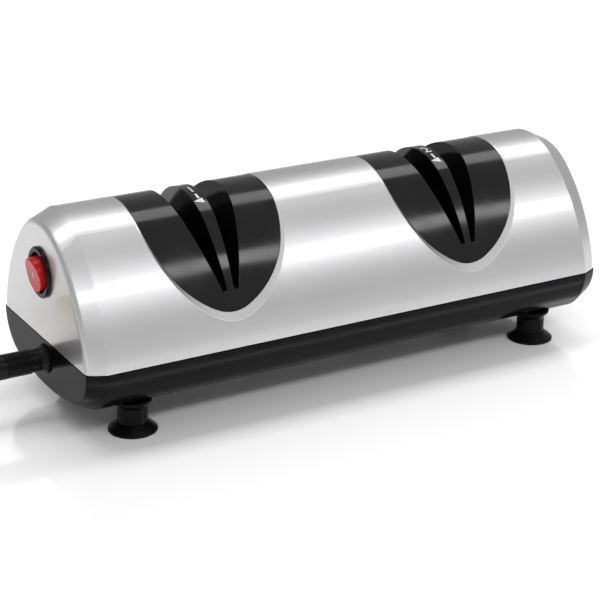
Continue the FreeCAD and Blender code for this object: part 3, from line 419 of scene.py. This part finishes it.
def rocker_mark():
    """The dash printed on the rocker's face, which leans as the rocker rests."""
    shape = bmesh.new()
    bmesh.ops.create_cube(shape, size=1.0)
    bmesh.ops.scale(shape, vec=(DASH_DEPTH, DASH_WIDTH, DASH_HEIGHT), verts=shape.verts)
    bmesh.ops.translate(shape, vec=(DASH_DEPTH / 2 - ROCKER_FACE - PRINT_LIFT, 0, 0), verts=shape.verts)
    bmesh.ops.rotate(shape, verts=shape.verts, cent=(0, 0, 0),
                     matrix=Matrix.Rotation(-ROCKER_LEAN, 3, "Y"))
    bmesh.ops.translate(shape, vec=(ROCKER_PIVOT[0], 0, ROCKER_PIVOT[1]), verts=shape.verts)
    bmesh.ops.scale(shape, vec=(MM, MM, MM), verts=shape.verts)
    bmesh.ops.translate(shape, vec=(HOUSING_SHIFT, 0, 0), verts=shape.verts)
    mesh = as_mesh("rocker_dash", shape)
    mesh.materials.append(ink)
    dash = add_object("rocker_dash", mesh)
    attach(dash, "rocker")


def onto_crown(mesh, x):
    """Lay flat print on a centre strip: its y becomes distance from the crown towards the user."""
    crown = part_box("coarse_guide")[1][2] / MM
    centre = crown - CROWN_RADIUS
    radius = CROWN_RADIUS + PRINT_LIFT
    for vertex in mesh.vertices:
        across, along, lift = vertex.co
        angle = along / CROWN_RADIUS
        reach = radius + lift
        place = Vector((x + across, -reach * math.sin(angle), centre + reach * math.cos(angle)))
        vertex.co = in_scene(place)


def numeral_shape(text):
    """A plain flat numeral that is read from the front: its foot is the side towards the user."""
    letter = bpy.data.curves.new("numeral", "FONT")
    letter.body = text
    letter.size = NUMERAL_HEIGHT / CAPITALS_IN_SIZE
    letter.align_x = "CENTER"
    letter.extrude = PRINT_THICKNESS / 2
    thing = add_object("numeral", letter)
    mesh = bpy.data.meshes.new_from_object(thing)
    bpy.data.objects.remove(thing)
    shape = bmesh.new()
    shape.from_mesh(mesh)
    bmesh.ops.scale(shape, vec=(1, -1, 1), verts=shape.verts)
    bmesh.ops.translate(shape, vec=(0, NUMERAL_FOOT, 0), verts=shape.verts)
    return shape


def add_arrow(shape):
    """An arrow along the strip: a stem and a triangular head, each a flat prism."""
    stem = bmesh.ops.create_cube(shape, size=1.0)["verts"]
    stem_length = ARROW_END - ARROW_HEAD - ARROW_START
    bmesh.ops.scale(shape, vec=(2 * ARROW_STEM, stem_length, PRINT_THICKNESS), verts=stem)
    bmesh.ops.translate(shape, vec=(0, ARROW_START + stem_length / 2, 0), verts=stem)
    head = bmesh.ops.create_cone(shape, cap_ends=True, segments=3, radius1=1, radius2=1,
                                 depth=PRINT_THICKNESS)["verts"]
    bmesh.ops.rotate(shape, verts=head, cent=(0, 0, 0),
                     matrix=Matrix.Rotation(math.radians(90), 3, "Z"))
    low = min(v.co.y for v in head)
    high = max(v.co.y for v in head)
    wide = max(v.co.x for v in head)
    for vertex in head:
        share = (vertex.co.y - low) / (high - low)
        vertex.co.y = ARROW_END - ARROW_HEAD + ARROW_HEAD * share
        vertex.co.x *= ARROW_HALF_WIDTH / wide


def stage_mark(name, text, x):
    """A stage's numeral and arrow, printed on the centre strip of its guide."""
    shape = numeral_shape(text)
    add_arrow(shape)
    for cut in range(1, PRINT_CUTS + 1):
        along = PRINT_CUT_START + cut * PRINT_CUT_STEP
        bmesh.ops.bisect_plane(shape, geom=shape.verts[:] + shape.edges[:] + shape.faces[:],
                               plane_co=(0, along, 0), plane_no=(0, 1, 0))
    mesh = as_mesh(name, shape)
    onto_crown(mesh, x)
    finished = bmesh.new()
    finished.from_mesh(mesh)
    bmesh.ops.remove_doubles(finished, verts=finished.verts, dist=1e-7)
    bmesh.ops.recalc_face_normals(finished, faces=finished.faces)
    finished.to_mesh(mesh)
    finished.free()
    mesh.materials.append(ink)
    mark = add_object(name, mesh)
    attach(mark, "housing")


# Floor, room and lamps

def floor_card():
    """Glossy pale card, white to the camera and with a glow that grows with the distance."""
    material = bpy.data.materials.new("floor_card")
    material.use_nodes = True
    nodes, links = material.node_tree.nodes, material.node_tree.links
    shader = nodes["Principled BSDF"]
    shader.inputs["Roughness"].default_value = FLOOR_ROUGHNESS
    seen = nodes.new("ShaderNodeLightPath")
    shade = nodes.new("ShaderNodeMix")
    shade.data_type = "RGBA"
    shade.inputs["A"].default_value = (*FLOOR_TONE, 1)
    shade.inputs["B"].default_value = (*FLOOR_TO_THE_EYE, 1)
    links.new(seen.outputs["Is Camera Ray"], shade.inputs["Factor"])
    links.new(shade.outputs["Result"], shader.inputs["Base Color"])
    polish = nodes.new("ShaderNodeBsdfGlossy")
    polish.inputs["Color"].default_value = (*FLOOR_POLISH, 1)
    polish.inputs["Roughness"].default_value = POLISH_ROUGHNESS
    card = nodes.new("ShaderNodeAddShader")
    links.new(shader.outputs[0], card.inputs[0])
    links.new(polish.outputs[0], card.inputs[1])
    place = nodes.new("ShaderNodeTexCoord")
    away = nodes.new("ShaderNodeVectorMath")
    away.operation = "LENGTH"
    links.new(place.outputs["Object"], away.inputs[0])
    far = nodes.new("ShaderNodeMapRange")
    far.inputs["From Min"].default_value = GLOW_STARTS
    far.inputs["From Max"].default_value = GLOW_IS_FULL
    far.inputs["To Max"].default_value = FAR_GLOW
    links.new(away.outputs["Value"], far.inputs["Value"])
    shown = nodes.new("ShaderNodeMath")
    shown.operation = "MULTIPLY"
    links.new(far.outputs["Result"], shown.inputs[0])
    links.new(seen.outputs["Is Camera Ray"], shown.inputs[1])
    glow = nodes.new("ShaderNodeEmission")
    links.new(shown.outputs[0], glow.inputs["Strength"])
    both = nodes.new("ShaderNodeAddShader")
    links.new(card.outputs[0], both.inputs[0])
    links.new(glow.outputs[0], both.inputs[1])
    links.new(both.outputs[0], nodes["Material Output"].inputs["Surface"])
    return material


def lay_floor():
    shape = bmesh.new()
    bmesh.ops.create_grid(shape, x_segments=1, y_segments=1, size=FLOOR_SIZE)
    mesh = as_mesh("floor", shape)
    mesh.materials.append(floor_card())
    floor = add_object("floor", mesh)


def room():
    """A soft even room, white to the camera."""
    world = bpy.data.worlds.new("room")
    bpy.context.scene.world = world
    world.use_nodes = True
    nodes, links = world.node_tree.nodes, world.node_tree.links
    seen = nodes.new("ShaderNodeLightPath")
    level = nodes.new("ShaderNodeMapRange")
    level.inputs["To Min"].default_value = ROOM_LIGHT
    level.inputs["To Max"].default_value = 1.0
    links.new(seen.outputs["Is Camera Ray"], level.inputs["Value"])
    links.new(level.outputs["Result"], nodes["Background"].inputs["Strength"])
    nodes["Background"].inputs["Color"].default_value = (1, 1, 1, 1)


def strip_lamp(name, rise, depth, brightness):
    """A long lamp that lies along the body. Its rise is 0 in front, 90 overhead and 180 behind."""
    lamp = bpy.data.lights.new(name, "AREA")
    lamp.shape = "RECTANGLE"
    lamp.size, lamp.size_y = LAMP_LENGTH, depth
    lamp.energy = brightness * math.pi * LAMP_LENGTH * depth
    light = add_object(name, lamp)
    turn = math.radians(rise)
    away = Vector((0, -math.cos(turn), math.sin(turn)))
    across = Vector((1, 0, 0))
    along = away.cross(across)
    facing = Matrix((across, along, away)).transposed().to_4x4()
    place = Matrix.Translation(away * LAMP_DISTANCE + across * LAMP_SIDEWAYS)
    light.matrix_world = place @ facing


photograph_camera()
mains_cord()
stage_mark("coarse_mark", "1", -STAGE_X)
stage_mark("fine_mark", "2", STAGE_X)
rocker_mark()
lay_floor()
room()
strip_lamp("overhead_lamp", rise=101, depth=0.46, brightness=2.3)
strip_lamp("front_lamp", rise=45, depth=0.17, brightness=4.4)

bpy.context.scene.view_settings.view_transform = "Standard"
